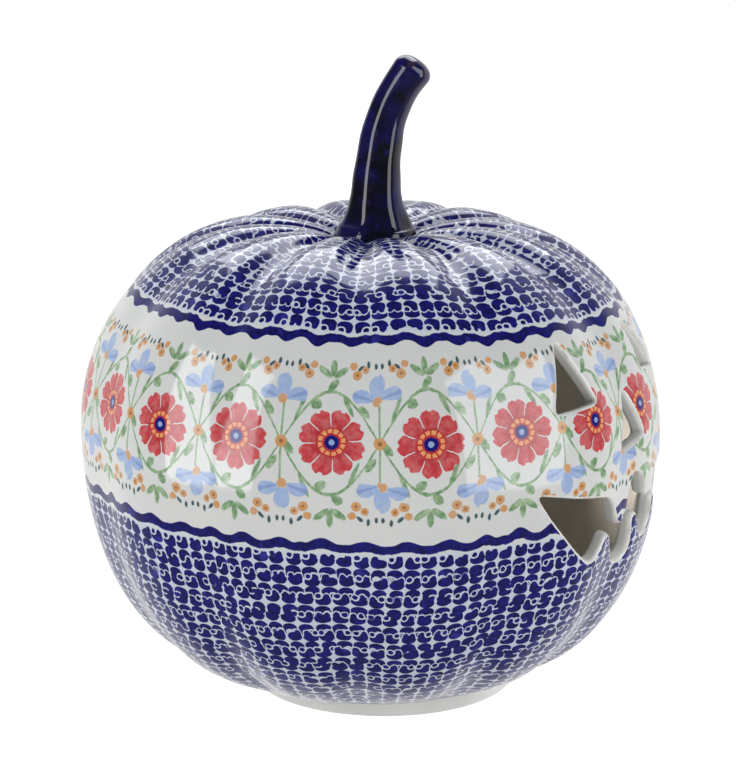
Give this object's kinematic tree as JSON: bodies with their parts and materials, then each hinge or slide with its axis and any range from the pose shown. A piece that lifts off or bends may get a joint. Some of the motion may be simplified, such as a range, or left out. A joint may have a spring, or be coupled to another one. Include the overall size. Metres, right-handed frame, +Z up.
{
  "type": "ceramic pumpkin lantern",
  "caption": "Hollow ribbed pumpkin of glazed stoneware with a cut-through face, curved stem and round open foot, made to stand over a tealight and let its light out.",
  "frame": {"origin": "point under the body's axis on the surface that the lantern and its light stand on", "axes": "+Z up along the body's axis; the cut face looks along -Y, so +X is on the right of someone facing it"},
  "size_m": [0.2388, 0.2388, 0.2575],
  "materials": {
    "glaze_patterned": "gloss, painted under the glaze",
    "glaze_cobalt": "gloss",
    "glaze_white": "gloss",
    "cup_aluminium": "drawn, bright",
    "wax": "satin",
    "tinplate": "bright",
    "cotton": "braided"
  },
  "bodies": {
    "tealight": {"tealight_cup": "cup_aluminium", "tealight_wax": "wax", "wick_sustainer": "tinplate", "wick": "cotton"},
    "lantern": {"pumpkin_shell": "glaze_patterned", "stem": "glaze_cobalt", "foot_ring": "glaze_white"}
  },
  "joints": [
    {"name": "lantern_lift", "type": "slide", "parent": "tealight", "child": "lantern", "axis": [0, 0, 1], "range_m": [0, 0.12]}
  ]
}
